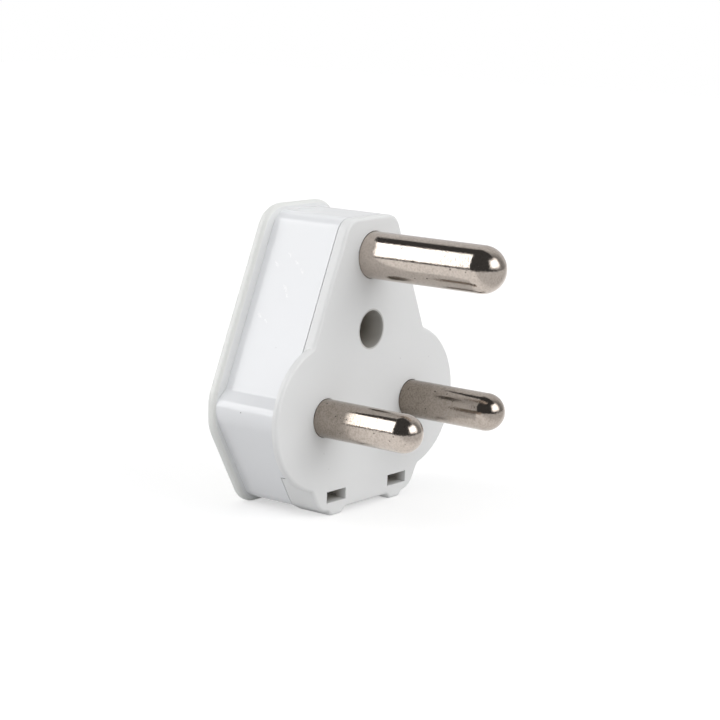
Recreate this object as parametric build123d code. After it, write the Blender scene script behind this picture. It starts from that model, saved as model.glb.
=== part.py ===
"""Rewireable three-pin plug top with round pins, in millimetres.

The flat engagement face is the plane y = 0 and the pins stand out of it along -Y.
+Z is up, with the earth pin on top, and the origin is on the engagement face, midway
between the live and neutral pins. +X is to the right when the pins are looked at.
"""
import math
import os

from build123d import *

# Pins
PIN_SPACING = 25.4
EARTH_RISE = 28.6
EARTH_DIAMETER = 8.7
EARTH_LENGTH = 28.6
LINE_DIAMETER = 7.05
LINE_LENGTH = 21.1
PIN_FIT = 0.05
EARTH_HEAD_STEP = 0.55
LINE_HEAD_STEP = 2.1
COLLAR_STEP = 0.25
FLAT_DEPTH = 0.9
BOSS_LENGTH = 3.0
BOSS_WALL = 1.5
HEAD_GUIDE_LENGTH = 4.2
HEAD_GUIDE_WALL = 1.2
HEAD_GUIDE_GAP = 0.2

# Terminal screws and their clamp washers
TERMINAL_THREAD = 4.0
TERMINAL_HEAD = 6.8
TERMINAL_HEAD_HEIGHT = 2.4
TERMINAL_REACH = 4.6
THREAD_FIT = 0.05
SLOT_WIDTH = 1.0
SLOT_DEPTH = 1.2
CLAMP_WASHER_THICKNESS = 0.9
CLAMP_WASHER_HEIGHT = 7.0
CLAMP_WASHER_LIP = 1.1
LIP_GAP = 0.15
CLAMP_WASHER_GAP = 0.1

# Body outline, seen from the pins
WALL = 1.9
HEAD_GAP = 0.2
TOP_WIDTH = 14.0
TOP_RADIUS = 3.6
SHOULDER_WIDTH = 41.0
SHOULDER_RISE = 3.95
SHOULDER_STEP = 2.6
SHOULDER_DROP = 2.25
SHOULDER_RADIUS = 0.9
SHOULDER_EDGE_RADIUS = 2.2
SIDE_DROP = 1.0
SIDE_RADIUS = 8.0
BOTTOM_WIDTH = 26.8
BOTTOM_DROP = 17.8
BOTTOM_RADIUS = 3.6

# Engagement plate of the base
PLATE_THICKNESS = 2.2
LOBE_MARGIN = 10.2
LOBE_THICKNESS = 1.2
FACE_EDGE = 0.65
CREASE_RADIUS = 0.8
SEAT_GAP = 0.15
RIB_THICKNESS = 1.1
RIB_HEIGHT = 2.6
BARRIER_THICKNESS = 1.2
BARRIER_HEIGHT = 9.5
BARRIER_FOOT = 3.0
BARRIER_GAP = 0.3

# Skirt, feet and cord outlet at the bottom
SKIRT_TOP = 11.6
SKIRT_DEPTH = 4.4
JOINT_GAP = 0.15
FOOT_HEIGHT = 1.0
FOOT_INNER = 6.2
FOOT_OUTER = 12.3
FOOT_TOE = 1.1
FOOT_HEEL = 2.0
FOOT_RADIUS = 0.7
CORD_DIAMETER = 7.6
CORD_DEPTH = 9.2
CORD_SKIRT_MARGIN = 0.4
CORD_REST_HEIGHT = 2.2
CORD_REST_WIDTH = 1.6
CORD_REST_LENGTH = 8.0

# Cover hooks and the windows they reach into
WINDOW_SPACING = 18.2
WINDOW_WIDTH = 5.5
WINDOW_HEIGHT = 2.1
WINDOW_SLEEVE_WALL = 1.0
WINDOW_SLEEVE_LENGTH = 4.6
HOOK_GAP = 0.25
HOOK_REACH = 1.4
HOOK_ROOT = 3.0

# Cover
BODY_DEPTH = 17.35
BACK_WALL = 2.4
FLANGE_THICKNESS = 2.05
FLANGE_TOP_STEP = 1.2
FLANGE_UPPER_STEP = 2.2
FLANGE_WIDE_STEP = 0.4
FLANGE_LOWER_STEP = 1.4
FLANGE_BOTTOM_STEP = 1.0
FLANGE_TOP_RADIUS = 6.0
FLANGE_WIDE_RADIUS = 8.0
FLANGE_BOTTOM_RADIUS = 5.0
FLANGE_EDGE = 0.7
BACK_EDGE = 0.9
STOP_DIAMETER = 6.0
STOP_WALL = 1.2
STOP_LENGTH = 1.0
STOP_GAP = 0.3

# Cover screw, its washer and its insert
COVER_SCREW_RISE = 14.8
RECESS_DIAMETER = 7.0
RECESS_DEPTH = 6.8
RECESS_WALL = 1.7
RECESS_FLOOR = 1.8
COVER_THREAD = 3.5
COVER_THREAD_CLEARANCE = 0.3
COVER_HEAD = 6.2
COVER_HEAD_HEIGHT = 2.2
COVER_SCREW_LENGTH = 8.4
COVER_WASHER = 7.4
COVER_WASHER_THICKNESS = 0.6
INSERT_DIAMETER = 6.4
INSERT_LENGTH = 7.2
INSERT_FIT = 0.02
INSERT_WALL = 1.7

# Cord clamp
CLAMP_SPACING = 17.0
CLAMP_DROP = 9.5
CLAMP_POST = 7.4
CLAMP_BAR_WIDTH = 6.0
CLAMP_BAR_THICKNESS = 1.8
CLAMP_BAR_DIP = 0.9
CLAMP_THREAD = 3.0
CLAMP_HEAD = 5.6
CLAMP_HEAD_HEIGHT = 2.0
CLAMP_HEAD_GAP = 1.0
CLAMP_SCREW_LENGTH = 7.6
NUT_WIDTH = 5.5
NUT_THICKNESS = 2.4
NUT_DEPTH = 2.2
NUT_FIT = 0.1

# Places that follow from the sizes above
EARTH_PIN = (0.0, EARTH_RISE)
LIVE_PIN = (-PIN_SPACING / 2, 0.0)
NEUTRAL_PIN = (PIN_SPACING / 2, 0.0)
EARTH_HEAD = EARTH_DIAMETER / 2 + EARTH_HEAD_STEP
LINE_HEAD = LINE_DIAMETER / 2 + LINE_HEAD_STEP
BACK = BODY_DEPTH + FLANGE_THICKNESS
BACK_INNER = BACK - BACK_WALL
HEAD_SEAT = PLATE_THICKNESS + BOSS_LENGTH
SCREW_END = BACK_INNER - STOP_LENGTH - STOP_GAP
SCREW_SEAT = SCREW_END - TERMINAL_HEAD_HEIGHT
HEAD_END = SCREW_SEAT - CLAMP_WASHER_THICKNESS
TOP = EARTH_RISE + EARTH_HEAD + HEAD_GAP + WALL
LOBE_RADIUS = LINE_DIAMETER / 2 + LOBE_MARGIN
FLOOR = BOTTOM_DROP + FOOT_HEIGHT
RECESS_END = RECESS_DEPTH + RECESS_FLOOR
WASHER_END = RECESS_END + COVER_WASHER_THICKNESS
WINDOW_DROP = BOTTOM_DROP - WALL + HOOK_GAP - WINDOW_HEIGHT / 2
CLAMP_SEAT = BACK_INNER - CLAMP_HEAD_GAP - CLAMP_HEAD_HEIGHT - CLAMP_BAR_THICKNESS
WIDE_HALF = SHOULDER_WIDTH / 2 + SHOULDER_STEP
CORD_SKIRT_WIDTH = 2 * (FOOT_OUTER + CORD_SKIRT_MARGIN)


def facing(depth):
    """The plane at a depth behind the face, drawn in x and z as seen from the pins."""
    return Plane(origin=(0, depth, 0), x_dir=(1, 0, 0), z_dir=(0, -1, 0))


def slab(outline, front, back):
    """A flat outline in x and z, given the depth range from front to back."""
    return extrude(facing(back) * outline, amount=back - front)


def rod(centre, radius, front, back):
    """A round rod along Y."""
    return slab(Pos(*centre) * Circle(radius), front, back)


def block(centre, width, height, front, back):
    """A rectangular block along Y."""
    return slab(Pos(*centre) * Rectangle(width, height), front, back)


def taper(centre, front_radius, back_radius, front, back):
    """A round taper along Y."""
    place = Plane(origin=(centre[0], front, centre[1]), z_dir=(0, 1, 0))
    align = (Align.CENTER, Align.CENTER, Align.MIN)
    return place * Cone(front_radius, back_radius, back - front, align=align)


def rounded(points, radii):
    """A symmetrical outline: the right half's corners from top to bottom, each with its radius."""
    left = [(-x, z) for x, z in reversed(points)]
    outline = make_face(Polyline(*points, *left, close=True))
    for (x, z), radius in zip(points, radii):
        for side in (x, -x):
            corner = outline.vertices().sort_by_distance((side, z, 0))[0]
            outline = fillet(corner, radius)
    return outline


def body_outline():
    """The outline that plate and cover share: narrow top, stepped shoulder, tapered bottom."""
    side_turn = math.atan2(WIDE_HALF - BOTTOM_WIDTH / 2, BOTTOM_DROP - SIDE_DROP)
    shoulder_turn = math.atan2(SHOULDER_STEP, SHOULDER_DROP)
    side_height = SHOULDER_RISE - SHOULDER_DROP + SIDE_DROP
    side_room = side_height - SHOULDER_EDGE_RADIUS * math.tan(shoulder_turn / 2)
    side_radius = min(SIDE_RADIUS, 0.95 * side_room / math.tan(side_turn / 2))
    points = [
        (TOP_WIDTH / 2, TOP),
        (SHOULDER_WIDTH / 2, SHOULDER_RISE),
        (WIDE_HALF, SHOULDER_RISE - SHOULDER_DROP),
        (WIDE_HALF, -SIDE_DROP),
        (BOTTOM_WIDTH / 2, -BOTTOM_DROP),
    ]
    radii = [TOP_RADIUS, SHOULDER_RADIUS, SHOULDER_EDGE_RADIUS, side_radius, BOTTOM_RADIUS]
    return rounded(points, radii)


def flange_outline():
    """The rear flange: each side of the body moved out by its own step."""
    upper_run = (SHOULDER_WIDTH - TOP_WIDTH) / 2
    upper_fall = TOP - SHOULDER_RISE
    upper_slope = upper_run / upper_fall
    upper_shift = FLANGE_UPPER_STEP * math.hypot(upper_run, upper_fall) / upper_fall
    lower_run = WIDE_HALF - BOTTOM_WIDTH / 2
    lower_fall = BOTTOM_DROP - SIDE_DROP
    lower_slope = lower_run / lower_fall
    lower_shift = FLANGE_LOWER_STEP * math.hypot(lower_run, lower_fall) / lower_fall
    top = TOP + FLANGE_TOP_STEP
    wide = WIDE_HALF + FLANGE_WIDE_STEP
    bottom = BOTTOM_DROP + FLANGE_BOTTOM_STEP
    points = [
        (TOP_WIDTH / 2 + upper_shift - upper_slope * FLANGE_TOP_STEP, top),
        (wide, TOP - (wide - TOP_WIDTH / 2 - upper_shift) / upper_slope),
        (wide, -SIDE_DROP - (WIDE_HALF + lower_shift - wide) / lower_slope),
        (BOTTOM_WIDTH / 2 + lower_shift - lower_slope * FLANGE_BOTTOM_STEP, -bottom),
    ]
    radii = [FLANGE_TOP_RADIUS, FLANGE_WIDE_RADIUS, FLANGE_WIDE_RADIUS, FLANGE_BOTTOM_RADIUS]
    return rounded(points, radii)


def cavity_outline(gap=0.0):
    """The inside of the wall, drawn in by a gap."""
    return offset(body_outline(), amount=-(WALL + gap), kind=Kind.ARC)


def foot_outline(side):
    """One foot below the plate, seen from the pins."""
    points = [
        (side * FOOT_INNER, -BOTTOM_DROP + WALL / 2),
        (side * FOOT_INNER, -BOTTOM_DROP),
        (side * (FOOT_INNER + FOOT_TOE), -FLOOR),
        (side * (FOOT_OUTER - FOOT_HEEL), -FLOOR),
        (side * FOOT_OUTER, -BOTTOM_DROP + WALL / 2),
    ]
    outline = make_face(Polyline(*points, close=True))
    for point in points[2:4]:
        corner = outline.vertices().sort_by_distance((*point, 0))[0]
        outline = fillet(corner, FOOT_RADIUS)
    return outline


def plate_outline():
    """The engagement face without its lobes: the body outline and the two feet."""
    return body_outline() + foot_outline(1) + foot_outline(-1)


def is_crease(vertex, outline):
    """Whether the outline turns sharply at a vertex."""
    directions = []
    for edge in outline.edges():
        for end in (0, 1):
            if (edge.position_at(end) - vertex.center()).length < CREASE_RADIUS / 100:
                directions.append(edge.tangent_at(end))
    return abs(directions[0].dot(directions[1])) < math.cos(math.radians(5))


def lobe_outline():
    """The face as it is seen: the plate with a round lobe about each line pin."""
    outline = plate_outline()
    for pin in (LIVE_PIN, NEUTRAL_PIN):
        outline += Pos(*pin) * Circle(LOBE_RADIUS)
    creases = [vertex for vertex in outline.vertices() if is_crease(vertex, outline)]
    return fillet(creases, CREASE_RADIUS)


def joint_region(gap):
    """What the base keeps of the wall: the plate, the side skirt and the cord skirt."""
    wide = 2 * WIDE_HALF + 4 * WALL
    tall = 2 * (TOP + FLOOR)
    region = block((0, 0), wide, tall, -WALL, PLATE_THICKNESS + gap)
    skirt_height = FLOOR - SKIRT_TOP + gap + WALL
    skirt_middle = -SKIRT_TOP + gap - skirt_height / 2
    region += block((0, skirt_middle), wide, skirt_height, 0, PLATE_THICKNESS + SKIRT_DEPTH + gap)
    cord_height = FLOOR - BOTTOM_DROP + 3 * WALL
    cord_middle = -FLOOR - WALL + cord_height / 2
    region += block((0, cord_middle), CORD_SKIRT_WIDTH + 2 * gap, cord_height, 0, CORD_DEPTH + gap)
    return region


def shell_wall(front, back):
    """The side wall of the body as a closed ring."""
    return slab(body_outline() - cavity_outline(), front, back)


def cord_outlet():
    """The round hole that the cord leaves by, half in the base and half in the cover."""
    return Pos(0, CORD_DEPTH, -BOTTOM_DROP) * Cylinder(CORD_DIAMETER / 2, 4 * WALL)


def window(side, front, back, grow=0.0):
    """The space of one rectangular window, grown on every side by a wall or a gap."""
    centre = (side * WINDOW_SPACING / 2, -WINDOW_DROP)
    return block(centre, WINDOW_WIDTH + 2 * grow, WINDOW_HEIGHT + 2 * grow, front, back)


def pin_places():
    """Each pin: its place, shank diameter, length and head radius."""
    earth = ("earth", EARTH_PIN, EARTH_DIAMETER, EARTH_LENGTH, EARTH_HEAD)
    live = ("live", LIVE_PIN, LINE_DIAMETER, LINE_LENGTH, LINE_HEAD)
    neutral = ("neutral", NEUTRAL_PIN, LINE_DIAMETER, LINE_LENGTH, LINE_HEAD)
    return [earth, live, neutral]


def pin_passage(centre, radius):
    """A pin's way through the plate: its shank, and the wider collar behind a taper."""
    shank = rod(centre, radius, -WALL, 0)
    return shank + taper(centre, radius, radius + COLLAR_STEP, 0, COLLAR_STEP) + rod(
        centre, radius + COLLAR_STEP, COLLAR_STEP, HEAD_SEAT)


def head_guides(centre, head):
    """Two short walls that stand against a pin head's flats and keep it from turning."""
    near = head - FLAT_DEPTH + HEAD_GUIDE_GAP
    guides = []
    for side in (-1, 1):
        middle = (centre[0] + side * (near + HEAD_GUIDE_WALL / 2), centre[1])
        end = HEAD_SEAT + HEAD_GUIDE_LENGTH
        guides.append(block(middle, HEAD_GUIDE_WALL, head, PLATE_THICKNESS, end))
    return guides


def clamp_washer_width(head):
    """Across a clamp washer's two lips, which stand outside the head's flats."""
    return 2 * (head - FLAT_DEPTH + LIP_GAP + CLAMP_WASHER_THICKNESS)


def clamp_washer_room(centre, head):
    """The space that the wall leaves free around a clamp washer."""
    width = clamp_washer_width(head) + 2 * CLAMP_WASHER_GAP
    height = CLAMP_WASHER_HEIGHT + 2 * CLAMP_WASHER_GAP
    front = HEAD_END - CLAMP_WASHER_LIP - CLAMP_WASHER_GAP
    return block(centre, width, height, front, SCREW_SEAT + CLAMP_WASHER_GAP)


def clamp_places():
    """The two screws of the cord clamp."""
    return [(-CLAMP_SPACING / 2, -CLAMP_DROP), (CLAMP_SPACING / 2, -CLAMP_DROP)]


def make_foot(side):
    """One foot running back under the skirt, with a sloped heel."""
    heel = [
        (LOBE_THICKNESS, 0),
        (CORD_DEPTH, 0),
        (CORD_DEPTH, -BOTTOM_DROP),
        (CORD_DEPTH - FOOT_HEEL, -FLOOR),
        (LOBE_THICKNESS, -FLOOR),
    ]
    side_view = extrude(Plane.YZ * make_face(Polyline(*heel, close=True)), amount=WIDE_HALF, both=True)
    return slab(foot_outline(side), LOBE_THICKNESS, CORD_DEPTH) & side_view


def make_base():
    """The front moulding: face, lobes, feet, skirt, pin bosses and clamp posts."""
    plate = slab(lobe_outline(), 0, LOBE_THICKNESS)
    plate = fillet(plate.faces().sort_by(Axis.Y)[0].outer_wire().edges(), FACE_EDGE)
    plate += slab(body_outline(), LOBE_THICKNESS, PLATE_THICKNESS)

    inside = slab(cavity_outline(SEAT_GAP), LOBE_THICKNESS, BODY_DEPTH)
    seat = cavity_outline(SEAT_GAP) - cavity_outline(SEAT_GAP + RIB_THICKNESS)
    fittings = slab(seat, PLATE_THICKNESS, PLATE_THICKNESS + RIB_HEIGHT)
    for _, centre, _, _, head in pin_places():
        fittings += rod(centre, head + BOSS_WALL, PLATE_THICKNESS, HEAD_SEAT)
        for guide in head_guides(centre, head):
            fittings += guide
    screw_place = (0, COVER_SCREW_RISE)
    fittings += rod(screw_place, RECESS_DIAMETER / 2 + RECESS_WALL, PLATE_THICKNESS, RECESS_END)
    barrier_top = COVER_SCREW_RISE - INSERT_DIAMETER / 2 - INSERT_WALL - BARRIER_GAP
    barrier_length = barrier_top + BARRIER_FOOT
    barrier_middle = (0, barrier_top - barrier_length / 2)
    barrier_end = PLATE_THICKNESS + BARRIER_HEIGHT
    fittings += block(barrier_middle, BARRIER_THICKNESS, barrier_length, PLATE_THICKNESS, barrier_end)
    for place in clamp_places():
        fittings += block(place, CLAMP_POST, CLAMP_POST, PLATE_THICKNESS, CLAMP_SEAT)
    for step in (-1, 0, 1):
        rest = (0, -CLAMP_DROP + step * 2 * CORD_REST_WIDTH)
        rest_end = PLATE_THICKNESS + CORD_REST_HEIGHT
        fittings += block(rest, CORD_REST_LENGTH, CORD_REST_WIDTH, PLATE_THICKNESS, rest_end)
    for side in (-1, 1):
        sleeve_end = PLATE_THICKNESS + WINDOW_SLEEVE_LENGTH
        fittings += window(side, PLATE_THICKNESS, sleeve_end, WINDOW_SLEEVE_WALL)
    base = plate + (fittings & inside)

    skirt = shell_wall(PLATE_THICKNESS, BODY_DEPTH) & joint_region(0)
    base += skirt
    for side in (-1, 1):
        base += make_foot(side)

    for _, centre, diameter, _, _ in pin_places():
        base -= pin_passage(centre, diameter / 2 + PIN_FIT)
    base -= rod(screw_place, RECESS_DIAMETER / 2, -WALL, RECESS_DEPTH)
    base -= rod(screw_place, COVER_THREAD / 2 + COVER_THREAD_CLEARANCE, 0, RECESS_END + WALL)
    for side in (-1, 1):
        base -= window(side, -WALL, PLATE_THICKNESS + WINDOW_SLEEVE_LENGTH)
    base -= cord_outlet()
    for place in clamp_places():
        base -= rod(place, CLAMP_THREAD / 2 + THREAD_FIT, CLAMP_SEAT - CLAMP_SCREW_LENGTH, CLAMP_SEAT)
        base -= nut_pocket(place)
    return base


def nut_pocket(place):
    """The slot that a square nut slides into from the side of its post."""
    side = math.copysign(1, place[0])
    width = NUT_WIDTH + 2 * NUT_FIT
    run = (CLAMP_POST + width) / 2
    middle = (place[0] + side * (CLAMP_POST / 2 - run / 2), place[1])
    front = CLAMP_SEAT - NUT_DEPTH - NUT_THICKNESS - NUT_FIT
    return block(middle, run, width, front, CLAMP_SEAT - NUT_DEPTH)


def make_cover():
    """The rear moulding: wall, flange and back in one, with boss, hooks and pin stops."""
    cover = slab(body_outline(), PLATE_THICKNESS, BODY_DEPTH + FLANGE_THICKNESS / 2)
    flange = slab(flange_outline(), BODY_DEPTH, BACK)
    flange = fillet(flange.faces().sort_by(Axis.Y)[-1].outer_wire().edges(), BACK_EDGE)
    flange = fillet(flange.faces().sort_by(Axis.Y)[0].outer_wire().edges(), FLANGE_EDGE)
    cover += flange
    cover -= slab(cavity_outline(), 0, BACK_INNER)
    cover -= joint_region(JOINT_GAP)

    screw_place = (0, COVER_SCREW_RISE)
    boss_front = WASHER_END + JOINT_GAP
    cover += rod(screw_place, INSERT_DIAMETER / 2 + INSERT_WALL, boss_front, BACK_INNER)
    cover -= rod(screw_place, INSERT_DIAMETER / 2 + INSERT_FIT, 0, boss_front + INSERT_LENGTH)
    for _, centre, _, _, head in pin_places():
        cover -= clamp_washer_room(centre, head)
        stop = rod(centre, STOP_DIAMETER / 2, SCREW_END + STOP_GAP, BACK_INNER)
        cover += stop - rod(centre, STOP_DIAMETER / 2 - STOP_WALL, SCREW_END, BACK_INNER)
    for side in (-1, 1):
        root = CORD_DEPTH + JOINT_GAP
        tip = PLATE_THICKNESS + WINDOW_SLEEVE_LENGTH - HOOK_REACH
        hook = window(side, tip, root + HOOK_ROOT, -HOOK_GAP)
        heel_height = WINDOW_HEIGHT + 2 * HOOK_GAP
        heel_centre = (side * WINDOW_SPACING / 2, -BOTTOM_DROP + WALL + heel_height / 2 - HOOK_GAP)
        heel = block(heel_centre, WINDOW_WIDTH - 2 * HOOK_GAP, heel_height, root, root + HOOK_ROOT)
        cover += (hook + heel) & slab(cavity_outline(), 0, BACK)
    cover -= cord_outlet()
    return cover


def make_pin(centre, diameter, length, head):
    """One solid pin: round-nosed shank, collar, wider head with two flats, and a tapped hole."""
    radius = diameter / 2
    shank = rod((0, 0), radius, radius - length, 0) + pin_passage((0, 0), radius)
    nose = Pos(0, radius - length, 0) * Sphere(radius)
    top = rod((0, 0), head, HEAD_SEAT, HEAD_END)
    flats = block((0, 0), 2 * (head - FLAT_DEPTH), 2 * head, HEAD_SEAT, HEAD_END)
    pin = shank + nose + (top & flats)
    hole_depth = TERMINAL_REACH + SLOT_WIDTH
    pin -= rod((0, 0), TERMINAL_THREAD / 2 + THREAD_FIT, HEAD_END - hole_depth, HEAD_END)
    return Pos(centre[0], 0, centre[1]) * pin


def make_clamp_washer(centre, head):
    """A square terminal washer whose two lips fold over the head's flats."""
    inner = head - FLAT_DEPTH + LIP_GAP
    washer = block((0, 0), clamp_washer_width(head), CLAMP_WASHER_HEIGHT, HEAD_END, SCREW_SEAT)
    for side in (-1, 1):
        middle = (side * (inner + CLAMP_WASHER_THICKNESS / 2), 0)
        lip_start = HEAD_END - CLAMP_WASHER_LIP
        washer += block(middle, CLAMP_WASHER_THICKNESS, CLAMP_WASHER_HEIGHT, lip_start, HEAD_END)
    washer -= rod((0, 0), TERMINAL_THREAD / 2 + 2 * THREAD_FIT, 0, SCREW_SEAT)
    return Pos(centre[0], 0, centre[1]) * washer


def make_screw(centre, thread, head, head_height, reach, seat, towards):
    """A slotted cheese-head screw on Y: towards is +1 if its head is behind the seat."""
    shank = Cylinder(thread / 2, reach, align=(Align.CENTER, Align.CENTER, Align.MAX))
    top = Cylinder(head / 2, head_height, align=(Align.CENTER, Align.CENTER, Align.MIN))
    rim = top.faces().sort_by(Axis.Z)[-1].edges()
    top = fillet(rim, head_height / 4)
    slot = Pos(0, 0, head_height) * Box(head * 2, SLOT_WIDTH, 2 * SLOT_DEPTH)
    screw = shank + top - slot
    place = Plane(origin=(centre[0], seat, centre[1]), x_dir=(1, 0, 0), z_dir=(0, towards, 0))
    return place * screw


def make_cover_washer():
    """The washer behind the recess that keeps the cover screw from falling out."""
    outer = rod((0, COVER_SCREW_RISE), COVER_WASHER / 2, RECESS_END, WASHER_END)
    return outer - rod((0, COVER_SCREW_RISE), COVER_THREAD / 2 + THREAD_FIT, 0, WASHER_END)


def make_cover_insert():
    """The threaded bush in the cover's boss."""
    front = WASHER_END + JOINT_GAP
    place = (0, COVER_SCREW_RISE)
    bush = rod(place, INSERT_DIAMETER / 2, front, front + INSERT_LENGTH)
    return bush - rod(place, COVER_THREAD / 2 + THREAD_FIT, 0, front + INSERT_LENGTH)


def make_clamp_bar():
    """The bar across the cord: two flat ends, with a rounded pad pressed towards the cord."""
    width = CLAMP_SPACING + CLAMP_POST
    bar = block((0, -CLAMP_DROP), width, CLAMP_BAR_WIDTH, CLAMP_SEAT, CLAMP_SEAT + CLAMP_BAR_THICKNESS)
    bar = fillet(bar.edges().filter_by(Axis.Y), CLAMP_BAR_WIDTH / 4)
    pad_width = CLAMP_SPACING - CLAMP_POST - 2 * JOINT_GAP
    pad = block((0, -CLAMP_DROP), pad_width, CLAMP_BAR_WIDTH, CLAMP_SEAT - CLAMP_BAR_DIP, CLAMP_SEAT)
    pad = fillet(pad.faces().sort_by(Axis.Y)[0].edges().filter_by(Axis.Z), CLAMP_BAR_DIP / 2)
    bar += pad
    for place in clamp_places():
        bar -= rod(place, CLAMP_THREAD / 2 + 2 * THREAD_FIT, 0, CLAMP_SEAT + CLAMP_BAR_THICKNESS)
    return bar


def make_nut(place):
    """A square nut in its post."""
    back = CLAMP_SEAT - NUT_DEPTH - NUT_FIT / 2
    nut = block(place, NUT_WIDTH, NUT_WIDTH, back - NUT_THICKNESS, back)
    return nut - rod(place, CLAMP_THREAD / 2 + THREAD_FIT, 0, back)


def parts():
    """Every piece by its name."""
    pieces = {"base": make_base(), "cover": make_cover()}
    for name, centre, diameter, length, head in pin_places():
        pieces[f"{name}_pin"] = make_pin(centre, diameter, length, head)
        pieces[f"{name}_clamp_washer"] = make_clamp_washer(centre, head)
        pieces[f"{name}_terminal_screw"] = make_screw(
            centre, TERMINAL_THREAD, TERMINAL_HEAD, TERMINAL_HEAD_HEIGHT,
            TERMINAL_REACH + CLAMP_WASHER_THICKNESS, SCREW_SEAT, 1)
    pieces["cover_screw"] = make_screw(
        (0, COVER_SCREW_RISE), COVER_THREAD, COVER_HEAD, COVER_HEAD_HEIGHT,
        COVER_SCREW_LENGTH, RECESS_DEPTH, -1)
    pieces["cover_screw_washer"] = make_cover_washer()
    pieces["cover_insert"] = make_cover_insert()
    pieces["cord_clamp_bar"] = make_clamp_bar()
    for side, place in zip(("left", "right"), clamp_places()):
        pieces[f"cord_clamp_screw_{side}"] = make_screw(
            place, CLAMP_THREAD, CLAMP_HEAD, CLAMP_HEAD_HEIGHT,
            CLAMP_SCREW_LENGTH - SLOT_WIDTH, CLAMP_SEAT + CLAMP_BAR_THICKNESS, 1)
        pieces[f"cord_clamp_nut_{side}"] = make_nut(place)
    return pieces


os.makedirs("parts", exist_ok=True)
for node, solid in parts().items():
    export_step(solid, f"parts/{node}.step")
    print(node, round(solid.volume, 1))
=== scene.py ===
"""Dresses the three-pin plug top: mouldings, plated pins, threaded fasteners and a plain studio.

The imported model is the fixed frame, in metres. The face is the plane y = 0, the pins stand out
along -Y and +Z is up. Sizes written here are in millimetres and are turned into metres by MM.
"""
import math

import bmesh
import bpy
from mathutils import Euler, Matrix, Vector


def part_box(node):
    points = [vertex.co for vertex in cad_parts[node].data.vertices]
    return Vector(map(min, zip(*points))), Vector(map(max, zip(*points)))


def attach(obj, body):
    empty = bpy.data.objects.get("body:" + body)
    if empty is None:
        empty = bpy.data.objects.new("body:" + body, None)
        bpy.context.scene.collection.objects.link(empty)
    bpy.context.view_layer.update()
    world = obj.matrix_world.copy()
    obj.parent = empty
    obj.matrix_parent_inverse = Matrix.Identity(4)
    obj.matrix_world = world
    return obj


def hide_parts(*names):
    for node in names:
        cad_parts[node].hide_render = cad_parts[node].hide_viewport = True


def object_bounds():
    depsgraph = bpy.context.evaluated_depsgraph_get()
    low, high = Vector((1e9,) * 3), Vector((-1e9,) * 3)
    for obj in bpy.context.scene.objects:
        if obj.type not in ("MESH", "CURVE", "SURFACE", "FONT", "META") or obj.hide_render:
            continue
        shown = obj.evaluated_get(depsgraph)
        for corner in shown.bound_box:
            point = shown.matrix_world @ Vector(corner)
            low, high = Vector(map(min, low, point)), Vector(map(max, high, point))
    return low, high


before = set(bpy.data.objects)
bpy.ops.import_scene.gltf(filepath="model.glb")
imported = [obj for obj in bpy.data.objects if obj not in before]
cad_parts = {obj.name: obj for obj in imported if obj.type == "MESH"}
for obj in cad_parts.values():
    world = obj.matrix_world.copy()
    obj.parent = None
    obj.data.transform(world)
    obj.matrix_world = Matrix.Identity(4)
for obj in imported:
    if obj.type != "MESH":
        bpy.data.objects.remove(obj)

bl_info = {
    "name": "Three-pin plug top",
    "version": (1, 0, 0),
    "blender": (4, 5, 0),
    "location": "View3D > Sidebar > Plug top",
    "description": "Finishes the mouldings, pins and fasteners of a round-pin plug top",
    "category": "Object",
}

MM = 0.001
ROOT = "root"
CAD_LOW, CAD_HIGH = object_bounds()
FLOOR_HEIGHT = CAD_LOW.z
WELD_DISTANCE = 0.0005 * MM

# Faces that meet at less than this angle are smoothed together, on plain and on threaded pieces.
# The weight is how far the large faces keep their own direction
CREASE = math.radians(28)
THREADED_CREASE = math.radians(20)
FLAT_WEIGHT = 80

# The flange is the last stretch of the cover, as seen from the pins
FLANGE_THICKNESS = 2.05 * MM
FLANGE_FRONT = CAD_HIGH.y - FLANGE_THICKNESS
FLANGE_EDGE = 0.1 * MM

# Painted shade in the well of the cover screw: how its edge is found, and the two stretches
# along Y, at the mouth and deeper in, with the share of painted shade that each adds
COVER_SCREW_LOW, COVER_SCREW_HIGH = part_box("cover_screw")
WELL_HEIGHT = (COVER_SCREW_LOW.z + COVER_SCREW_HIGH.z) / 2
WELL_RADIUS = 3.5 * MM
WELL_MARGIN = (0.2 * MM, 0.4 * MM)
WELL_MOUTH = (-1.5 * MM, 1.0 * MM)
WELL_DEPTH = (1.0 * MM, 6.0 * MM)
MOUTH_SHADE = 0.55
DEPTH_SHADE = 0.30

# Painted shade in the two windows at the feet, found and built up in the same way
WINDOW_SPACING = 18.2 * MM
WINDOW_WIDTH = 5.5 * MM
WINDOW_HEIGHT = 2.1 * MM
WINDOW_MIDDLE = -15.1 * MM
WINDOW_MARGIN = (0.1 * MM, 0.3 * MM)
WINDOW_DEPTH = (0.1 * MM, 2.5 * MM)
WINDOW_SHADE = 0.6

# Darkening of the line pins: the heights where they end, the stretch over which they darken
# towards the face, and the step across to the neutral pin, which is the darker one
LINE_PIN_TOP = (12 * MM, 14 * MM)
NEAR_FACE = (-17 * MM, -3 * MM)
NEUTRAL_SIDE = (0.0, 5 * MM)

# Screws: thread, pitch, height of the head, and +1 where the head is behind its seat
SCREW_SIZES = {
    "terminal": (4.0, 0.70, 2.4, 1),
    "cover": (3.5, 0.60, 2.2, -1),
    "clamp": (3.0, 0.50, 2.0, 1),
}

# Thread depth and tip taper in pitches, facets round the shank, and rows of them to a pitch
THREAD_DEPTH = 0.54
THREAD_TAPER = 0.8
THREAD_SIDES = 28
THREAD_ROWS = 8

# The threaded shank starts this far inside the head
SHANK_ROOT = 0.2 * MM

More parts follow.
